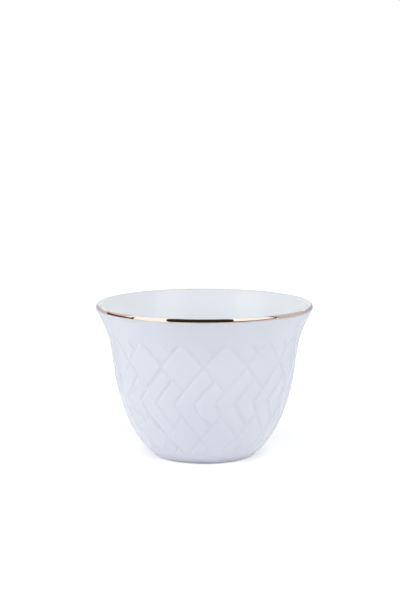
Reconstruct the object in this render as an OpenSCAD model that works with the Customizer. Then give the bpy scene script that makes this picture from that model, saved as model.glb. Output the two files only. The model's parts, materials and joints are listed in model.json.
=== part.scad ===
// Arabic coffee cup: a small handleless bowl of moulded porcelain on a low foot ring.
// A woven lattice of grooves is pressed into the wall, and the lip carries a band of gold.
// Lengths are in millimetres and angles in degrees. The cup stands on z = 0, on the Z axis.

/* [Cup] */
// Outer diameter over the lip
rim_d = 72; // [66:0.5:80]
// Height from the table to the top of the lip
cup_h = 50.8; // [46:0.2:58]
// Outer diameter at the waist, where the wall stands most upright
waist_d = 60.1; // [57:0.1:62]
// Height of the waist
waist_z = 28.4; // [25:0.1:31]
// Outer diameter of the foot, where it meets the table
foot_d = 34; // [28:0.5:38]

/* [Wall] */
// Thickness of the wall at the waist
wall_t = 2.4; // [2:0.1:3]
// Thickness of the wall just under the lip
lip_t = 1.8; // [1.5:0.1:2.2]
// Thickness of the floor inside the foot ring
floor_t = 3.2; // [2.4:0.1:4]
// Radius of the swelling that turns the outside of the lip upright
face_r = 2; // [1.6:0.1:2.6]
// Radius of the lip's outer corner, above that face
crest_r = 0.5; // [0.4:0.05:0.7]

/* [Foot ring] */
// Width of the ring that stands on the table
ring_w = 2.6; // [2:0.1:3.4]
// Depth of the hollow under the cup
recess_z = 1.6; // [1:0.1:2.2]
// Height of the eased corner round the outside of the foot
corner_z = 0.8; // [0.5:0.1:1.2]

/* [Lattice] */
// Repeats of the woven figure round the cup
repeats = 14; // [10:1:16]
// Width of a groove
groove_w = 1.6; // [1.2:0.05:2]
// Depth of a groove
groove_d = 0.3; // [0.1:0.05:0.45]

/* [Gold band] */
// Width of the gold band, measured down the outside of the lip
gold_w = 1.4; // [1:0.1:2.4]
// Bare porcelain between the crest of the lip and the band
gold_gap = 0.25; // [0.1:0.05:0.5]
// Thickness of the gold, drawn thicker than the real film
gold_t = 0.1; // [0.05:0.01:0.15]

/* [Hidden] */
$fn = 144;
PORCELAIN = [0.87, 0.89, 0.92];
GOLD = [0.87, 0.75, 0.55];

// Angle of the wall above the table where it leaves the foot
foot_angle = 32;
// Lean of the wall outwards at the waist and just under the lip, from upright
waist_lean = 7.8;
lip_lean = 28;
// Angle above level at which the lip's face rounds into its crest
crest_angle = 30;
// Steps along each curve of the wall, and on each arc of the lip
CURVE_STEPS = 16;
ARC_STEPS = 5;
// Overrun of a cut past the surface that it opens
overrun = 1;
// A very small length, for slopes along the wall and for the joins at the ends of the lattice
sliver = 0.03;
// How far the plain wall laps into the lattice band, inside its wall
lap = 0.6;

// How far each curve's handle reaches, as shares of the height of its part of the wall
low_handle_shares = [0.26, 0.42];
high_handle_shares = [0.44, 0.42];
// Handles of the bowl inside, and where its flat middle ends, as shares
bowl_handle_shares = [0.4, 0.3];
flat_share = 0.8;

// Where the figure turns on the wall, and the step between its levels, as shares of the wall's length
turn_share = 0.477;
step_share = 0.0785;
// How far the lower half of the figure is turned back against the upper one, as a share of a quarter
slip_share = 0.28;
// Levels that the band spans each way from the turn
LEVELS = 5;
// Where the grooves fade out, and over how much, as shares of those levels
fade_share = 0.9;
fade_width_share = 0.1;
// Slack when grid lines are sorted by level, as a share of one level
slack_share = 0.02;
// Grid lines of one cell between two grooves
CELL_LINES = 4;

function unit(v) = v / norm(v);
function outward(v) = [v.y, -v.x];
function bezier(a, b, c, d, t) =
    pow(1 - t, 3) * a + 3 * pow(1 - t, 2) * t * b + 3 * (1 - t) * t * t * c + pow(t, 3) * d;
function curve(a, b, c, d, steps) = [for (i = [0:steps]) bezier(a, b, c, d, i / steps)];
function tail(list) = [for (i = [1:len(list) - 1]) list[i]];
function reversed(list) = [for (i = [len(list) - 1:-1:0]) list[i]];

// The outside, as radius and height: the foot's corner, a swelling bowl, then a flare to the lip
foot_r = foot_d / 2;
foot_dir = [cos(foot_angle), sin(foot_angle)];
waist_dir = [sin(waist_lean), cos(waist_lean)];
lip_dir = [sin(lip_lean), cos(lip_lean)];
foot_top = [foot_r + corner_z / 2, corner_z];
waist = [waist_d / 2, waist_z];
crest_centre = [rim_d / 2 - face_r + (face_r - crest_r) * cos(crest_angle), cup_h - crest_r];
face_centre = crest_centre - (face_r - crest_r) * [cos(crest_angle), sin(crest_angle)];
flare_end = face_centre + face_r * outward(lip_dir);
low_z = waist_z - corner_z;
high_z = cup_h - waist_z;
low_wall = curve(
    foot_top,
    foot_top + low_z * low_handle_shares[0] * foot_dir,
    waist - low_z * low_handle_shares[1] * waist_dir,
    waist,
    CURVE_STEPS);
high_wall = curve(
    waist,
    waist + high_z * high_handle_shares[0] * waist_dir,
    flare_end - high_z * high_handle_shares[1] * lip_dir,
    flare_end,
    CURVE_STEPS);

// The lip: a nearly upright face outside, a tight corner above it, and one round inside
function arc(centre, r, from, to) = [
    for (i = [0:ARC_STEPS])
        let (angle = from + (to - from) * i / ARC_STEPS)
            centre + r * [cos(angle), sin(angle)]
];
lip_inner_r = lip_t - (rim_d / 2 - crest_centre.x);
lip_face = arc(face_centre, face_r, -lip_lean, crest_angle);
lip_crest = arc(crest_centre, crest_r, crest_angle, 90);
lip_in = arc([crest_centre.x, cup_h - lip_inner_r], lip_inner_r, 90, 180 - lip_lean);

// The whole outside from the table to the crest of the lip, and how far along it each point lies
outside = concat([[foot_r, 0]], low_wall, tail(high_wall), tail(lip_face), tail(lip_crest));
reach = [
    for (
        i = 0, s = 0;
        i < len(outside);
        i = i + 1, s = s + (i < len(outside) ? norm(outside[i] - outside[i - 1]) : 0)
    ) s
];
crest_s = reach[len(outside) - 1];
wall_len = reach[len(outside) - 1 - 2 * ARC_STEPS];
function along(s, part) = lookup(s, [for (i = [0:len(outside) - 1]) [reach[i], outside[i][part]]]);
function point_at(s) = [along(s, 0), along(s, 1)];
function out_at(s) = outward(unit(point_at(s + sliver) - point_at(s - sliver)));
function stretch(from, to) =
    [for (i = [0:len(outside) - 1]) if (reach[i] > from && reach[i] < to) outside[i]];

// The inside, from the lip down the flare to the waist, then round into the floor
floor_z = recess_z + floor_t;
inner_waist = waist - wall_t * outward(waist_dir);
lip_foot = lip_in[ARC_STEPS];
inner_flare = curve(
    lip_foot,
    lip_foot - high_z * high_handle_shares[1] * lip_dir,
    inner_waist + high_z * high_handle_shares[0] * waist_dir,
    inner_waist,
    CURVE_STEPS);
bowl_z = waist_z - floor_z;
bowl_edge = [foot_r * flat_share, floor_z];
inner_bowl = curve(
    inner_waist,
    inner_waist - bowl_z * bowl_handle_shares[0] * waist_dir,
    bowl_edge + [inner_waist.x * bowl_handle_shares[1], 0],
    bowl_edge,
    CURVE_STEPS);
inside = concat(tail(lip_in), tail(inner_flare), tail(inner_bowl), [[0, floor_z]]);

// The band of the lattice: its turn and its two ends, as distances along the wall
turn_s = turn_share * wall_len;
level_step = step_share * wall_len;
function level_s(level) = turn_s + level * level_step;
band_low_s = level_s(-LEVELS);
band_high_s = level_s(LEVELS);

// Grooves run up the wall both ways. One figure is four quarters wide, and a groove rises one level
// for each quarter. Falling grooves are counted by u and rising ones by v, both whole on a groove.
quarters = 4 * repeats;
quarter_arc = 2 * PI * point_at(turn_s).x / quarters;
groove_gap = 2 * quarter_arc * level_step / norm([quarter_arc, level_step]);
edge_share = groove_w / 2 / groove_gap;
line_shares = [0, edge_share, 0.5, 1 - edge_share];
function cell_line(i) = floor(i / CELL_LINES) + line_shares[i - CELL_LINES * floor(i / CELL_LINES)];
function is_groove(i) = i == CELL_LINES * floor(i / CELL_LINES);
function is_odd(i) = floor(i / CELL_LINES) % 2 != 0;
function within(level, from, to) = level >= from - slack_share && level <= to + slack_share;

// Which stretches of a groove are cut, by level: the breaks make the strands pass over and under
function falls_at(odd, level) =
    odd ? within(level, 1, LEVELS) || within(level, -2, 0)
        : within(level, 4, LEVELS) || within(level, -LEVELS, 0);
function rises_at(odd, level) = falls_at(odd, -level);
function fade(level) = max(0, min(1, (fade_share - abs(level) / LEVELS) / fade_width_share + 0.5));
function slip(level) = slip_share * max(-1, min(0, level));
function cut_share(i, j, level) =
    (is_groove(i) && falls_at(is_odd(i), level)) || (is_groove(j) && rises_at(is_odd(j), level))
        ? fade(level)
        : 0;

function band_point(row, column) =
    let (
        i = column,
        j = column - row + CELL_LINES * LEVELS,
        u = cell_line(i),
        v = cell_line(j),
        level = u - v,
        turn = 360 * (u + v + 1 + slip(level)) / quarters - 90,
        s = level_s(level),
        p = point_at(s) - groove_d * cut_share(i, j, level) * out_at(s)
    ) [p.x * cos(turn), p.x * sin(turn), p.y];

module lattice_band() {
    rows = 2 * CELL_LINES * LEVELS;
    columns = 2 * CELL_LINES * repeats;
    points = [for (row = [0:rows], column = [0:columns - 1]) band_point(row, column)];
    function at(row, column) = row * columns + column % columns;
    sides = [
        for (row = [0:rows - 1], column = [0:columns - 1])
            each [
                [at(row, column), at(row + 1, column + 1), at(row, column + 1)],
                [at(row, column), at(row + 1, column), at(row + 1, column + 1)]
            ]
    ];
    under = [for (column = [0:columns - 1]) at(0, column)];
    over = [for (column = [columns - 1:-1:0]) at(rows, column)];
    polyhedron(points, concat(sides, [under, over]), convexity = 6);
}

// The plain wall below the lattice, then above it with the lip, solid to the axis. Each laps into
// the lattice inside its wall, so that they join in depth and not face to face only.
module plain_foot() {
    end = point_at(band_low_s);
    core = end - [wall_t / 2, 0];
    rotate_extrude()
        polygon(concat(
            [[0, 0], outside[0]],
            stretch(0, band_low_s),
            [end - [sliver, 0], core, core + [0, lap], [0, core.y + lap]]));
}

module plain_flare() {
    start = point_at(band_high_s);
    core = start - [wall_t / 2, 0];
    rotate_extrude()
        polygon(concat(
            [[0, core.y - lap], core - [0, lap], core, start - [sliver, 0]],
            stretch(band_high_s, crest_s),
            [point_at(crest_s), [0, cup_h]]));
}

module hollow() {
    mouth = [crest_centre.x, cup_h];
    above = [0, overrun];
    rotate_extrude() polygon(concat([mouth + above, mouth], inside, [[0, cup_h] + above]));
}

module foot_hollow() {
    r = foot_r - ring_w;
    translate([0, 0, -overrun]) cylinder(h = recess_z + overrun, r = r);
}

module porcelain_body() {
    color(PORCELAIN) difference() {
        union() {
            plain_foot();
            lattice_band();
            plain_flare();
        }
        hollow();
        foot_hollow();
    }
}

// The gold follows the outside of the lip, from just under its crest down to the band's lower edge
module gold_band() {
    upper_s = crest_s - gold_gap;
    lower_s = upper_s - gold_w;
    steps = concat([lower_s], [for (s = reach) if (s > lower_s && s < upper_s) s], [upper_s]);
    under = [for (s = steps) point_at(s)];
    over = [for (s = steps) point_at(s) + gold_t * out_at(s)];
    color(GOLD) rotate_extrude() polygon(concat(over, reversed(under)));
}

porcelain_body();
gold_band();
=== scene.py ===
# %% [markdown]
# # An Arabic coffee cup in glazed porcelain
#
# The cup is a small bowl without a handle. Porcelain is pressed into a mould that carries a woven
# lattice, fired, dipped in clear glaze, fired again, and then banded with gold at the lip.
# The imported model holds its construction. This lesson gives it the surface that glaze and gold give.

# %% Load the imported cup
import json
import math

import bmesh
import bpy
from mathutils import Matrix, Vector

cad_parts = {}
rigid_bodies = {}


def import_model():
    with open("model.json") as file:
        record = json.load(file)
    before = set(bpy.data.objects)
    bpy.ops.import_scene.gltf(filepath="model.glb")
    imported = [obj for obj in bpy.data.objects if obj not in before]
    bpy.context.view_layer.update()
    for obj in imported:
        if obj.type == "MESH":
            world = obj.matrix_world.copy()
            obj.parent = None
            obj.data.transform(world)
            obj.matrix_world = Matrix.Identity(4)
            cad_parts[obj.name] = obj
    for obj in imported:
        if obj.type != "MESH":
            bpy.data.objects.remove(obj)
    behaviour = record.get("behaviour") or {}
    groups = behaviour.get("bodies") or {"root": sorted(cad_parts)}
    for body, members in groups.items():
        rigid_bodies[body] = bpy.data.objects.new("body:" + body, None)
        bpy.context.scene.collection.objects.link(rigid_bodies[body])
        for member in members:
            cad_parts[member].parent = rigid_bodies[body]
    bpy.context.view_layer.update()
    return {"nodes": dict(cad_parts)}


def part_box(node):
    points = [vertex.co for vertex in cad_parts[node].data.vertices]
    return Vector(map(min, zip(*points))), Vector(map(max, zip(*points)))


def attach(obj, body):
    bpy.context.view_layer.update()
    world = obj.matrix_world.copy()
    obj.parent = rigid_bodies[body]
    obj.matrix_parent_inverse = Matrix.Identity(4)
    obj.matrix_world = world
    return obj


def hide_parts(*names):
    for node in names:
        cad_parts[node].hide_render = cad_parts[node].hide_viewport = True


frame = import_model()
body_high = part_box("porcelain_body")[1]


print("packed nodes:", sorted(frame["nodes"]))

# %% [markdown]
# ## Sizes of the cup
#
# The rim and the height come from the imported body, so the surface that is made here fits it.
# The other sizes are those of the construction, in metres, with MM standing for a millimetre.
# The lip has a nearly upright face, where the gold goes, and a tight round crest above it.
# A name that ends in r is a radius, z a height above the table, t a thickness, w a width and
# s a distance along the outline.

# %% Sizes
MM = 0.001
rim_r = body_high.x
cup_h = body_high.z
waist_r = 30.05 * MM
waist_z = 28.4 * MM
foot_r = 17.0 * MM
wall_t = 2.4 * MM
lip_t = 1.8 * MM
floor_t = 3.2 * MM
ring_w = 2.6 * MM
recess_z = 1.6 * MM
corner_z = 0.8 * MM
face_r = 2.0 * MM
crest_r = 0.5 * MM
gold_w = 1.4 * MM
gold_gap = 0.25 * MM
foot_angle = math.radians(32)
waist_lean = math.radians(7.8)
lip_lean = math.radians(28)
crest_angle = math.radians(30)
print("rim diameter", round(2 * rim_r / MM, 2), "mm, height", round(cup_h / MM, 2), "mm")

# %% [markdown]
# ## The outline, outside and in
#
# A thrown or pressed cup is round, so one outline turned about the axis gives the whole body.
# Two Bezier curves that share a direction at the waist draw the swelling bowl and the flare,
# which is how a potter's template is cut, and arcs draw the lip. A curve needs few numbers
# and stays smooth, where a long list of points would show every slip of the hand.
#
# Each end of a curve pulls it along its own direction. The pulls are shares of the curve's height,
# and a longer pull keeps the curve straighter there.


# %% Outline helpers
def toward(angle):
    """A step of length one in the outline's plane, at an angle above level."""
    return Vector((math.cos(angle), math.sin(angle)))


def right_of(step):
    """The direction out of the cup for a step that climbs the wall."""
    return Vector((step.y, -step.x)).normalized()


def bezier(a, b, c, d, steps):
    """Points on a cubic Bezier curve, its start left out."""
    points = []
    for i in range(1, steps + 1):
        t = i / steps
        s = 1 - t
        points.append(s**3 * a + 3 * s * s * t * b + 3 * s * t * t * c + t**3 * d)
    return points


def arc(centre, radius, start, end, steps):
    """Points on an arc, its start left out."""
    return [centre + radius * toward(start + (end - start) * i / steps) for i in range(1, steps + 1)]


# %% The outline outside, from the table to the crest of the lip
foot_pull = 0.26
low_waist_pull = 0.42
high_waist_pull = 0.44
lip_pull = 0.42
wall_steps = 60
face_steps = 10
crest_steps = 8
waist_step = toward(math.pi / 2 - waist_lean)
lip_step = toward(math.pi / 2 - lip_lean)
foot_top = Vector((foot_r + corner_z / 2, corner_z))
waist = Vector((waist_r, waist_z))
crest_centre = Vector((rim_r - face_r + (face_r - crest_r) * math.cos(crest_angle), cup_h - crest_r))
face_centre = crest_centre - (face_r - crest_r) * toward(crest_angle)
flare_end = face_centre + face_r * right_of(lip_step)
low_z = waist_z - corner_z
high_z = cup_h - waist_z

outside = [Vector((foot_r, 0)), foot_top]
outside += bezier(foot_top, foot_top + foot_pull * low_z * toward(foot_angle),
                  waist - low_waist_pull * low_z * waist_step, waist, wall_steps)
outside += bezier(waist, waist + high_waist_pull * high_z * waist_step,
                  flare_end - lip_pull * high_z * lip_step, flare_end, wall_steps)
wall_points = len(outside)
outside += arc(face_centre, face_r, -lip_lean, crest_angle, face_steps)
outside += arc(crest_centre, crest_r, crest_angle, math.pi / 2, crest_steps)

reach = [0.0]
for lower, upper in zip(outside, outside[1:]):
    reach.append(reach[-1] + (upper - lower).length)
wall_len = reach[wall_points - 1]
crest_s = reach[-1]
print("length of the wall along its outside", round(wall_len / MM, 1), "mm")


def on_outside(s):
    """The point of the outline at a distance along it."""
    s = min(max(s, 0), crest_s)
    low, high = 0, len(reach) - 1
    while high - low > 1:
        middle = (low + high) // 2
        if reach[middle] <= s:
            low = middle
        else:
            high = middle
    share = (s - reach[low]) / (reach[high] - reach[low])
    return outside[low].lerp(outside[high], share)


def out_of(s, span=0.15 * MM):
    """The direction out of the wall at a distance along the outline, taken over a short span."""
    return right_of(on_outside(s + span) - on_outside(s - span))


# %% The outline inside, from the crest of the lip to the middle of the floor
bowl_pull = 0.4
floor_pull = 0.3
flat_share = 0.8
bend_steps = 10
bowl_steps = 40
floor_steps = 6
inner_lip_r = lip_t - (rim_r - crest_centre.x)
inner_lip = Vector((crest_centre.x, cup_h - inner_lip_r))
floor_z = recess_z + floor_t
inner_waist = waist - wall_t * right_of(waist_step)
bowl_z = waist_z - floor_z
bowl_edge = Vector((flat_share * foot_r, floor_z))

inside = arc(inner_lip, inner_lip_r, math.pi / 2, math.pi - lip_lean, bend_steps)
lip_foot = inside[-1]
inside += bezier(lip_foot, lip_foot - lip_pull * high_z * lip_step,
                 inner_waist + high_waist_pull * high_z * waist_step, inner_waist, bowl_steps)
inside += bezier(inner_waist, inner_waist - bowl_pull * bowl_z * waist_step,
                 bowl_edge + Vector((floor_pull * inner_waist.x, 0)), bowl_edge, bowl_steps)
inside += [Vector((bowl_edge.x * (1 - i / floor_steps), floor_z)) for i in range(1, floor_steps)]
print("floor of the bowl", round(floor_z / MM, 1), "mm above the table")

# %% [markdown]
# ## The woven lattice
#
# The mould presses shallow grooves into the wall. They rise both ways, and breaks in them make
# the strands between seem to pass over and under. On the real cup this is true relief, so it is
# modelled and not painted: the lines of the mesh run along the grooves, with several lines across
# each groove, and every point knows which groove it lies in and how far from its middle.
#
# One figure is four quarters wide. Falling grooves are counted by u and rising ones by v, and
# both are whole numbers in the middle of a groove. Their difference is the level up the wall,
# which is 0 where the figure turns and runs to 5 above and below. The grooves grow shallower
# towards the foot, where the mould has to let go of the clay, and fade out at both edges.

# %% Measures of the lattice
repeats = 14
quarters = 4 * repeats
turn_s = 0.477 * wall_len
level_step = 0.0785 * wall_len
slip_share = 0.28
groove_w = 1.6 * MM
groove_d = 0.22 * MM
bulge = 0.06 * MM
bulge_w = 1.3 * MM

# Where along the levels the pattern starts, ends and fades, and over how many levels
levels = 5
fade_level = 4.65
fade_run = 0.4
cut_run = 0.12
low_level = -1
low_run = 3
low_share = 0.35
print(repeats, "figures, each", round(2 * math.pi * waist_r / repeats / MM, 1), "mm wide at the waist")


def groove_gap(s):
    """How far apart the grooves of one kind lie, at a distance along the wall."""
    across = 2 * math.pi * on_outside(s).x / quarters
    return 2 * across * level_step / math.hypot(across, level_step)


# %% Lines of the mesh from one groove to the next
# They are close together across a groove and far apart over the field between two.
edge_lines = 4
edge = groove_w / 2 / groove_gap(turn_s)
shares = [k * edge / edge_lines for k in range(edge_lines + 1)]
shares += [0.25, 0.375, 0.5, 0.625, 0.75]
shares += [1 - k * edge / edge_lines for k in range(edge_lines, 0, -1)]
lines = len(shares)
columns = 2 * repeats * lines
print(columns, "lines of the mesh round the cup")


# %% The figure of the lattice
def level_s(level):
    """Distance along the wall of a level of the lattice."""
    return turn_s + level * level_step


def turn_at(u, v):
    """Angle round the cup. Below its turn the figure slips back by part of a quarter."""
    slip = slip_share * max(-1, min(0, u - v))
    return 2 * math.pi * (u + v + 1 + slip) / quarters - math.pi / 2


def line_place(i):
    """Place of a mesh line, counted in grooves."""
    return i // lines + shares[i % lines]


def ease(x):
    """A smooth rise from 0 to 1."""
    x = min(max(x, 0), 1)
    return x * x * (3 - 2 * x)


def shown(level, start, end):
    """How far a stretch of groove from one level to another is cut at this level."""
    return ease((level - start) / cut_run + 0.5) * ease((end - level) / cut_run + 0.5)


def falling(groove, level):
    """How far a falling groove is cut at a level. Odd and even grooves break at different levels."""
    if groove % 2:
        return max(shown(level, 1, levels), shown(level, -2, 0))
    return max(shown(level, 4, levels), shown(level, -levels, 0))


def rising(groove, level):
    """A rising groove is a falling one turned upside down."""
    return falling(groove, -level)


def pressed(u, v, level):
    """Depth share of the groove here, and how far the field swells between the grooves."""
    gap = groove_gap(level_s(level))
    fade = ease((fade_level - abs(level)) / fade_run + 0.5)
    fade *= 1 - low_share * ease((low_level - level) / low_run)
    depth, field = 0.0, 1.0
    for place, cut in ((u, falling), (v, rising)):
        groove = math.floor(place + 0.5)
        distance = abs(place - groove) * gap
        here = cut(groove, level) * fade
        if distance < groove_w / 2:
            depth = max(depth, here * 0.5 * (1 + math.cos(2 * math.pi * distance / groove_w)))
        field *= 1 - here * math.exp(-((distance / bulge_w) ** 2))
    return depth, field * fade


# %% [markdown]
# ## The glazed body
#
# The surface is one closed grid: up from the middle underneath, round the foot ring, through the
# lattice, over the lip and down to the middle of the floor. In the lattice a row climbs half a
# cell and the columns lean with the falling grooves, and each cell is cut in two along the rising
# ones, so that both kinds of groove are shaded alike. Elsewhere every row is a plain ring.
# A second material goes on the ring that stands on the table, which a potter wipes clean of glaze.

# %% Rows under the cup and round its foot ring
hollow_steps = 6
ring_steps = 4
ease_steps = 5
ease_r = 0.35 * MM
ring_in = foot_r - ring_w
flat_w = ring_w - 2 * ease_r
underneath = [Vector((ring_in * i / hollow_steps, recess_z)) for i in range(1, hollow_steps)]
underneath += arc(Vector((ring_in - ease_r, recess_z - ease_r)), ease_r, math.pi / 2, 0, ease_steps)
underneath += arc(Vector((ring_in + ease_r, ease_r)), ease_r, math.pi, 1.5 * math.pi, ease_steps)
underneath += [Vector((ring_in + ease_r + flat_w * i / ring_steps, 0)) for i in range(1, ring_steps)]
underneath += arc(Vector((foot_r - ease_r, ease_r)), ease_r,
                  1.5 * math.pi, 2 * math.pi - foot_angle, ease_steps)

# %% Rows below and above the lattice
foot_s = 1 * MM
below = [p for p, s in zip(outside, reach) if foot_s < s < level_s(-levels)]
above = [p for p, s in zip(outside, reach) if s > level_s(levels)]


def turned(place, turn):
    """A point of the outline, turned about the axis of the cup."""
    return Vector((place.x * math.cos(turn), place.x * math.sin(turn), place.y))


def ring_turn(column, level):
    """Angle of a column on a plain ring that continues the lattice from one of its ends."""
    return turn_at(line_place(column), line_place(column) - level)


def lattice_point(row, column):
    """A point of the lattice, and its depth share."""
    u = line_place(column)
    v = line_place(column - row + lines * levels)
    level = u - v
    s = level_s(level)
    depth, field = pressed(u, v, level)
    place = on_outside(s) + out_of(s) * (bulge * field - groove_d * depth)
    return turned(place, turn_at(u, v)), depth


def ring(place, level):
    """One plain ring of the body, with a column for every line of the lattice."""
    return [(turned(place, ring_turn(column, level)), 0.0) for column in range(columns)]


# %% Make the glazed body
lip_rows = 12
bare_z = 0.3 * MM


def put(name, data):
    """A new object in the scene."""
    thing = bpy.data.objects.new(name, data)
    bpy.context.scene.collection.objects.link(thing)
    return thing


def put_mesh(name, mesh):
    """A mesh that is done, as a new object in the scene."""
    data = bpy.data.meshes.new(name)
    mesh.to_mesh(data)
    mesh.free()
    return put(name, data)


def body_rows():
    """The rows from underneath to the middle of the bowl, and the numbers of three of them: the
    lattice's first and last, and the first one past the crest of the lip."""
    rows = [ring(p, -levels) for p in underneath + below]
    low_row = len(rows)
    rows += [[lattice_point(r, c) for c in range(columns)] for r in range(2 * lines * levels + 1)]
    high_row = len(rows) - 1
    rows += [ring(p, levels) for p in above]
    crest_row = len(rows)
    rows += [ring(p, levels) for p in inside]
    return rows, low_row, high_row, crest_row


def body_points(mesh, rows, crest_row):
    """Adds the points. Each keeps its groove's depth, and a share that grows past the crest into the
    bowl, for the bowl's painted light.
    """
    pool = mesh.verts.layers.float.new("groove_depth")
    # A share from 0 at the crest to 1 in the bowl, where the white is painted lighter: painted light.
    bowl = mesh.verts.layers.float.new("painted_bowl_light")
    grid = []
    for number, row in enumerate(rows):
        made = []
        for place, depth in row:
            vert = mesh.verts.new(place)
            vert[pool] = depth
            vert[bowl] = ease((number - crest_row) / lip_rows)
            made.append(vert)
        grid.append(made)
    ends = [mesh.verts.new((0, 0, recess_z)), mesh.verts.new((0, 0, floor_z))]
    ends[1][bowl] = 1.0
    return grid, ends


def body_faces(mesh, grid, ends, low_row, high_row):
    """Adds the faces. Each cell of the lattice is cut in two, and a fan closes each end."""
    for number, (lower, upper) in enumerate(zip(grid, grid[1:])):
        for i in range(columns):
            n = (i + 1) % columns
            if low_row <= number < high_row:
                mesh.faces.new((lower[i], lower[n], upper[n]))
                mesh.faces.new((lower[i], upper[n], upper[i]))
            else:
                mesh.faces.new((lower[i], lower[n], upper[n], upper[i]))
    for i in range(columns):
        n = (i + 1) % columns
        mesh.faces.new((ends[0], grid[0][n], grid[0][i]))
        mesh.faces.new((ends[1], grid[-1][i], grid[-1][n]))
    for face in mesh.faces:
        face.smooth = True
        face.material_index = int(face.calc_center_median().z < bare_z)


def glazed_body():
    """The whole body as one closed mesh."""
    rows, low_row, high_row, crest_row = body_rows()
    mesh = bmesh.new()
    grid, ends = body_points(mesh, rows, crest_row)
    body_faces(mesh, grid, ends, low_row, high_row)
    return put_mesh("glazed_body", mesh)


body = glazed_body()
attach(body, "root")
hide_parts("porcelain_body")
print("glazed body:", len(body.data.vertices), "points,", len(body.data.polygons), "faces")

# %% [markdown]
# ## The gold band
#
# Bright gold is painted on the glaze while the cup turns on a banding wheel, then fired to a
# film thinner than paint. So it is a skin that follows the face of the lip, and its edges wander
# a little, as a brush does. It is built from the same outline, lifted off the glaze by less than
# a tenth of a millimetre. Every point keeps how full the film is there, because a brush leaves
# less gold along the lower edge.

# %% Make the gold band
film_t = 0.05 * MM
film_steps = 24
film_columns = 432
film_span = 0.05 * MM
round_steps = 3
wander = 0.04 * MM
thin_w = 0.5 * MM


def brush_edge(turn):
    """How far an edge of the band wanders at an angle round the cup."""
    slow = 0.5 * math.sin(2 * turn + 0.7) + 0.3 * math.sin(5 * turn + 2.1)
    return wander * (slow + 0.2 * math.sin(11 * turn))


def film_loop(turn):
    """The film's section at an angle: up its face from edge to edge, and back against the glaze."""
    low = crest_s - gold_gap - gold_w + brush_edge(turn)
    high = crest_s - gold_gap + brush_edge(2 * turn) / 2
    loop = []
    for i in range(film_steps + 1):
        s = low + (high - low) * i / film_steps
        rise = min(min(i, film_steps - i) / round_steps, 1)
        lift = film_t * math.sqrt(1 - (1 - rise) ** 2)
        loop.append((on_outside(s) + out_of(s, film_span) * lift, ease((s - low) / thin_w)))
    for i in range(film_steps - 2, 1, -2):
        s = low + (high - low) * i / film_steps
        loop.append((on_outside(s) - out_of(s, film_span) * film_t / 2, 1.0))
    return loop


def gold_film():
    """The band as a closed skin over the face of the lip."""
    mesh = bmesh.new()
    fullness = mesh.verts.layers.float.new("film")
    grid = []
    for column in range(film_columns):
        turn = 2 * math.pi * column / film_columns
        made = []
        for place, full in film_loop(turn):
            vert = mesh.verts.new(turned(place, turn))
            vert[fullness] = full
            made.append(vert)
        grid.append(made)
    for a, b in zip(grid, grid[1:] + grid[:1]):
        for i in range(len(a)):
            n = (i + 1) % len(a)
            mesh.faces.new((a[i], b[i], b[n], a[n])).smooth = True
    bmesh.ops.recalc_face_normals(mesh, faces=mesh.faces)
    return put_mesh("gold_film", mesh)


gold = gold_film()
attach(gold, "root")
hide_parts("gold_band")
print("gold film:", len(gold.data.vertices), "points, a band", round(gold_w / MM, 2), "mm wide")

# %% [markdown]
# ## Colours and nodes
#
# Colours are written as they would be picked from a swatch, in sRGB, and one function turns them
# to the linear values that the renderer works in. Another adds a node with its settings and links,
# and two more do what most finishes here need, a noise of a known size and a blend of two colours,
# so that a material reads as a short recipe.


# %% Material helpers
def linear(swatch):
    """An sRGB hex colour as linear red, green, blue and alpha."""
    parts = [int(swatch[i:i + 2], 16) / 255 for i in (1, 3, 5)]
    return [c / 12.92 if c <= 0.04045 else ((c + 0.055) / 1.055) ** 2.4 for c in parts] + [1]


def add(tree, kind, settings=None, **inputs):
    """Adds a node. Settings are its properties, and an input is a value or another node's output."""
    node = tree.nodes.new(kind)
    for name, value in (settings or {}).items():
        setattr(node, name, value)
    for name, value in inputs.items():
        socket = node.inputs[int(name[1:]) if name[1:].isdigit() else name.replace("_", " ")]
        if isinstance(value, bpy.types.NodeSocket):
            tree.links.new(value, socket)
        else:
            socket.default_value = value
    return node


def noise(tree, place, size, detail):
    """A noise with spots of about this size, in millimetres."""
    scale = 1 / (size * MM)
    return add(tree, "ShaderNodeTexNoise", Vector=place, Scale=scale, Detail=detail).outputs["Fac"]


def between(tree, share, first, second, kind="MIX"):
    """The first colour where the share is 0, and the second, or their product, where it is 1."""
    settings = {"data_type": "RGBA", "blend_type": kind}
    return add(tree, "ShaderNodeMix", settings, _0=share, _6=first, _7=second).outputs[2]


def new_material(name):
    """An empty node material, its node tree and its output."""
    material = bpy.data.materials.new(name)
    material.use_nodes = True
    material.node_tree.nodes.clear()
    return material, material.node_tree, material.node_tree.nodes.new("ShaderNodeOutputMaterial")


# %% [markdown]
# ## Glazed porcelain
#
# Hard porcelain is fired near 1400 degrees until it is nearly glass, and the clear glaze melts
# into it. The eye sees a cool white that glows a little, because light travels a millimetre or so
# inside, under a sharp, faint reflection. Glaze runs into the grooves and lies thicker there,
# which draws them in a slightly deeper, bluer tone. Inside, the glaze goes in by pouring and
# swilling, not dipping. The bowl is painted a lighter, bluer white than the outside: painted light,
# for the light that falls into the bowl. The surface is never quite flat: it carries slow waves
# a few millimetres across.

# %% Make the glazed porcelain
GLAZED_WHITE = "#E7EBF5"
POOLED_WHITE = "#E1E7F3"
# The bowl's white, lighter and bluer than the outside: painted light for the light that falls into the
# bowl.
PAINTED_BOWL_LIGHT = "#F3F8FF"
pooled_most = 0.25
mottle_w = 18.0
wave_w = 6.0
wave_h = 0.02 * MM
light_reach = 2.5 * MM


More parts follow.
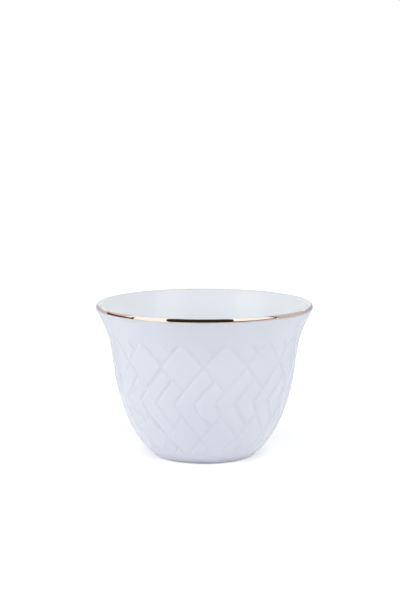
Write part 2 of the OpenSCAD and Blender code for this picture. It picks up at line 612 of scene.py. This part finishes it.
def glazed_porcelain():
    """Dense white porcelain under a clear glaze."""
    material, tree, out = new_material("glazed porcelain")
    place = add(tree, "ShaderNodeTexCoord").outputs["Object"]
    depth = add(tree, "ShaderNodeAttribute", {"attribute_name": "groove_depth"})
    pooled = add(tree, "ShaderNodeMapRange", Value=depth.outputs["Fac"], To_Max=pooled_most)
    dipped = between(tree, pooled.outputs[0], linear(GLAZED_WHITE), linear(POOLED_WHITE))
    # Past the crest of the lip the white is painted lighter and bluer: painted light for the light in
    # the bowl.
    painted_bowl_light = add(tree, "ShaderNodeAttribute", {"attribute_name": "painted_bowl_light"})
    glaze = between(tree, painted_bowl_light.outputs["Fac"], dipped, linear(PAINTED_BOWL_LIGHT))
    tone = noise(tree, place, mottle_w, 3.0)
    mottle = add(tree, "ShaderNodeMapRange", Value=tone, To_Min=0.985, To_Max=1.0)
    colour = between(tree, 1.0, glaze, mottle.outputs[0], "MULTIPLY")
    waves = noise(tree, place, wave_w, 1.0)
    bump = add(tree, "ShaderNodeBump", Strength=0.25, Distance=wave_h, Height=waves)
    shader = add(tree, "ShaderNodeBsdfPrincipled", Base_Color=colour, Roughness=0.07,
                 IOR=1.52, Subsurface_Weight=0.6, Subsurface_Radius=(1.0, 0.95, 0.9),
                 Subsurface_Scale=light_reach, Normal=bump.outputs[0])
    tree.links.new(shader.outputs[0], out.inputs[0])
    return material


# %% [markdown]
# ## Bare porcelain
#
# The ring that stands on the table is wiped before firing, or the glaze would weld the cup to the
# kiln shelf. What is left is dense but dull, like fine stone, and faintly scored by grinding.

# %% Make the bare porcelain
BARE_WHITE = "#E3E1DA"
grit_w = 0.4
grit_h = 0.02 * MM


def bare_porcelain():
    """Unglazed porcelain, ground smooth."""
    material, tree, out = new_material("bare porcelain, ground")
    place = add(tree, "ShaderNodeTexCoord").outputs["Object"]
    grain = noise(tree, place, grit_w, 4.0)
    tone = add(tree, "ShaderNodeMapRange", Value=grain, To_Min=0.93, To_Max=1.0)
    colour = between(tree, 1.0, linear(BARE_WHITE), tone.outputs[0], "MULTIPLY")
    bump = add(tree, "ShaderNodeBump", Strength=0.5, Distance=grit_h, Height=grain)
    shader = add(tree, "ShaderNodeBsdfPrincipled", Base_Color=colour, Roughness=0.6,
                 IOR=1.5, Normal=bump.outputs[0])
    tree.links.new(shader.outputs[0], out.inputs[0])
    return material


# %% [markdown]
# ## Bright gold
#
# Liquid bright gold comes out of the kiln already polished, because it is smooth glaze under a
# metal film. It is a warm, pale gold that mirrors whatever stands round it, so most of its look
# is the studio. Faint streaks run round the lip where the brush laid it.

# %% Make the bright gold
FULL_GOLD = "#F6EBDF"
STREAK_GOLD = "#F1E3D4"
THIN_GOLD = "#D4BFB1"
streak_w = 4.0
streak_squeeze = 12.0


def bright_gold():
    """A fired film of bright gold."""
    material, tree, out = new_material("bright gold lustre, fired")
    place = add(tree, "ShaderNodeTexCoord").outputs["Object"]
    squeezed = add(tree, "ShaderNodeMapping", Vector=place, Scale=(1.0, 1.0, streak_squeeze))
    streaks = noise(tree, squeezed.outputs[0], streak_w, 3.0)
    laid = between(tree, streaks, linear(FULL_GOLD), linear(STREAK_GOLD))
    film = add(tree, "ShaderNodeAttribute", {"attribute_name": "film"})
    colour = between(tree, film.outputs["Fac"], linear(THIN_GOLD), laid)
    rough = add(tree, "ShaderNodeMapRange", Value=streaks, To_Min=0.03, To_Max=0.06)
    shader = add(tree, "ShaderNodeBsdfPrincipled", Base_Color=colour, Metallic=1.0,
                 Roughness=rough.outputs[0])
    tree.links.new(shader.outputs[0], out.inputs[0])
    return material


body.data.materials.append(glazed_porcelain())
body.data.materials.append(bare_porcelain())
gold.data.materials.append(bright_gold())
print("materials:", [m.name for m in body.data.materials] + [m.name for m in gold.data.materials])

# %% [markdown]
# ## The studio
#
# White porcelain on white is shot in even light, from large soft lights above, at the sides and
# behind, and two low ones reach in under the curve above the foot. The gold is a mirror, so it
# shows the room and not the lamps: white silks, a dark cloth in front, where the camera looks
# through, grey, rose and brown cards at the sides with dark stands between them, and grey and
# pale ones behind the cup. All of these are seen only in reflections, so they neither light nor
# shade the cup. The background is white to the camera and to reflections through the light path
# alone, so that white adds no light to the cup, and the floor keeps the cup's soft shadow.

# %% The white surround
SURROUND = "#F6F7FA"
surround_level = 0.08


def seen_directly(tree):
    """One for a ray from the camera, in a reflection or through glass, and zero for a lighting ray."""
    path = add(tree, "ShaderNodeLightPath")
    sharp = add(tree, "ShaderNodeMath", {"operation": "MAXIMUM"}, _0=path.outputs["Is Glossy Ray"],
                _1=path.outputs["Is Transmission Ray"])
    return add(tree, "ShaderNodeMath", {"operation": "MAXIMUM"}, _0=path.outputs["Is Camera Ray"],
               _1=sharp.outputs[0]).outputs[0]


def white_surround():
    """White to the camera and to reflections, and only a faint glow as a lamp."""
    world = bpy.data.worlds.new("white surround")
    world.use_nodes = True
    tree = world.node_tree
    tree.nodes.clear()
    light = add(tree, "ShaderNodeBackground", Color=linear(SURROUND), Strength=surround_level)
    white = add(tree, "ShaderNodeBackground", Color=(1, 1, 1, 1), Strength=1.0)
    mixed = add(tree, "ShaderNodeMixShader", _0=seen_directly(tree), _1=light.outputs[0],
                _2=white.outputs[0])
    out = tree.nodes.new("ShaderNodeOutputWorld")
    tree.links.new(mixed.outputs[0], out.inputs[0])
    bpy.context.scene.world = world


white_surround()

# %% The floor
FLOOR_WHITE = "#FBFBFC"
near_lift = 0.36
far_lift = 0.95
near_by = 0.1
far_away = 1.2
floor_w = 8.0


def white_floor():
    """White paint, lifted to the camera with distance so that it meets the white surround."""
    material, tree, out = new_material("white floor, matt")
    paint = add(tree, "ShaderNodeBsdfDiffuse", Color=linear(FLOOR_WHITE))
    place = add(tree, "ShaderNodeTexCoord").outputs["Object"]
    far = add(tree, "ShaderNodeVectorMath", {"operation": "LENGTH"}, _0=place)
    lift = add(tree, "ShaderNodeMapRange", Value=far.outputs["Value"], From_Min=near_by,
               From_Max=far_away, To_Min=near_lift, To_Max=far_lift)
    level = add(tree, "ShaderNodeMath", {"operation": "MULTIPLY"}, _0=seen_directly(tree),
                _1=lift.outputs[0])
    glow = add(tree, "ShaderNodeEmission", Color=(1, 1, 1, 1), Strength=level.outputs[0])
    both = add(tree, "ShaderNodeAddShader", _0=paint.outputs[0], _1=glow.outputs[0])
    tree.links.new(both.outputs[0], out.inputs[0])
    return material


def stage_piece(name, points, faces, material):
    """A piece of the studio, made of points and faces."""
    data = bpy.data.meshes.new(name)
    data.from_pydata(points, [], faces)
    data.materials.append(material)
    piece = put(name, data)
    return piece


half = floor_w / 2
one_face = [(0, 1, 2, 3)]
stage_piece("floor", [(-half, -half, 0), (half, -half, 0), (half, half, 0), (-half, half, 0)],
            one_face, white_floor())

# %% The cards that the gold and the glaze reflect
WHITE_SILK = "#FFFBFF"
silk_level = 1.19
card_steps = 12
screen_y = 50 * MM


def card_colour(name, swatch, level):
    """A flat colour that shows as written in a reflection, times a level."""
    material, tree, out = new_material(name)
    glow = add(tree, "ShaderNodeEmission", Color=linear(swatch), Strength=level)
    tree.links.new(glow.outputs[0], out.inputs[0])
    return material


def reflected(name, points, faces, swatch, level=1.0):
    """A piece of the studio that shows in reflections only."""
    piece = stage_piece(name, points, faces, card_colour(name, swatch, level))
    piece.visible_camera = False
    piece.visible_diffuse = False
    piece.visible_shadow = False


def card(name, left, right, low, high, far, swatch, level=1.0):
    """A card bent round the cup. Its angles are round the cup, and up from the level of the lip."""
    points = []
    for i in range(card_steps + 1):
        turn = math.radians(left + (right - left) * i / card_steps)
        for rise in (low, high):
            lift = far * math.tan(math.radians(rise))
            points.append((far * math.sin(turn), -far * math.cos(turn), max(cup_h + lift, MM)))
    faces = [(2 * i, 2 * i + 2, 2 * i + 3, 2 * i + 1) for i in range(card_steps)]
    reflected(name, points, faces, swatch, level)


def screen(name, left, right, low, high, swatch):
    """An upright card close behind the cup, its edges in millimetres. It shows only in what the
    eye sees nearly edge on: the two ends of the gold, and the glaze at both edges of the wall."""
    corners = ((left, low), (right, low), (right, high), (left, high))
    points = [(x * MM, screen_y, z * MM) for x, z in corners]
    reflected(name, points, one_face, swatch)


# %% Hang the dark cloth in front, leaning over the camera, and stand the cards round it
cloth_left = -0.75
cloth_right = 0.534
cloth_away = 1.0
cloth_high = 2.5
cloth_lean = math.radians(14.5)
cloth_over = cloth_away - cloth_high * math.tan(cloth_lean)
reflected("dark_cloth", [(cloth_left, -cloth_away, 0), (cloth_right, -cloth_away, 0),
                         (cloth_right, -cloth_over, cloth_high), (cloth_left, -cloth_over, cloth_high)],
          one_face, "#2C2A27")
card("white_silk_left", -86, -38, -2, 76, 1.4, WHITE_SILK, silk_level)
card("white_silk_right", 28, 78, 9, 76, 1.4, WHITE_SILK, silk_level)
card("low_shade", 28, 46, -12, 10, 0.5, "#706C68")
card("low_grey_card", 46, 78, -12, 14.5, 0.5, "#AEAFB2")
card("stand_right", 75, 80, 8, 42, 0.28, "#241D1A")
card("rose_card_right", 78, 124, -20, 62, 0.3, "#CBC8CD")
card("rose_card_left", -124, -86, -20, 62, 0.3, "#DDD3D8")
screen("back_screen_right", 42, 135, 40, 68, "#B6BCCA")
screen("back_screen_left", -135, -42, 40, 68, "#C6C8D0")
screen("low_screen_right", 42, 135, 1, 40, "#F0F3F8")
screen("low_screen_left", -135, -42, 1, 40, "#F0F3F8")
card("brown_card", -117, -76, -12, 11, 0.25, "#6E4A3E")
card("stand_left", -77.5, -73, -12, 18, 0.24, "#2A211D")

# %% The soft lights
cup_middle = Vector((0, 0, cup_h / 2))


def round_the_cup(turn, rise, far):
    """A place at an angle to the right of the camera's side, an angle up and a distance."""
    turn = math.radians(turn)
    rise = math.radians(rise)
    level = far * math.cos(rise)
    return (level * math.sin(turn), -level * math.cos(turn), cup_middle.z + far * math.sin(rise))


def soft_light(name, centre, width, height, power):
    """A rectangular soft light turned to the cup. It lights the cup and stays out of reflections."""
    data = bpy.data.lights.new(name, "AREA")
    data.shape = "RECTANGLE"
    data.size = width
    data.size_y = height
    data.energy = power
    lamp = put(name, data)
    lamp.location = centre
    lamp.rotation_euler = (cup_middle - Vector(centre)).to_track_quat("-Z", "Y").to_euler()
    lamp.visible_camera = False
    lamp.visible_glossy = False


soft_light("high light left", round_the_cup(-40, 50, 1.1), 0.8, 0.8, 4.1)
soft_light("high light right", round_the_cup(40, 50, 1.1), 0.8, 0.8, 4.7)
soft_light("side light left", round_the_cup(-80, 15, 1.0), 0.8, 0.9, 2.4)
soft_light("side light right", round_the_cup(80, 15, 1.0), 0.8, 0.9, 1.25)
soft_light("low light left", round_the_cup(-62, 9, 1.0), 0.8, 0.3, 0.9)
soft_light("low light right", round_the_cup(60, 9, 1.0), 0.8, 0.3, 0.8)
soft_light("overhead light", (-0.1, 0.0, 1.3), 0.9, 0.9, 1.3)
soft_light("back light", round_the_cup(175, 40, 1.2), 1.2, 0.8, 3.5)

# %% [markdown]
# ## The camera
#
# The photograph looks down a little on the rim from about half a metre. The distance and height
# were found by matching the ellipse of the rim and the curve of the base, so the perspective
# of the near and far edge of the lip agrees. The sensor's 36 mm lie along the frame's long side.

# %% Set the camera
camera_y = -522 * MM
camera_z = cup_h + 75.9 * MM
camera_tilt = math.radians(8.18)
camera_turn = math.radians(0.16)
lens_mm = 95.1
sensor_mm = 36

camera = put("camera", bpy.data.cameras.new("camera"))
camera.data.lens = lens_mm
camera.data.sensor_width = sensor_mm
camera.location = (0, camera_y, camera_z)
camera.rotation_euler = (math.pi / 2 - camera_tilt, 0, camera_turn)
bpy.context.scene.camera = camera
bpy.context.scene.view_settings.view_transform = "Standard"
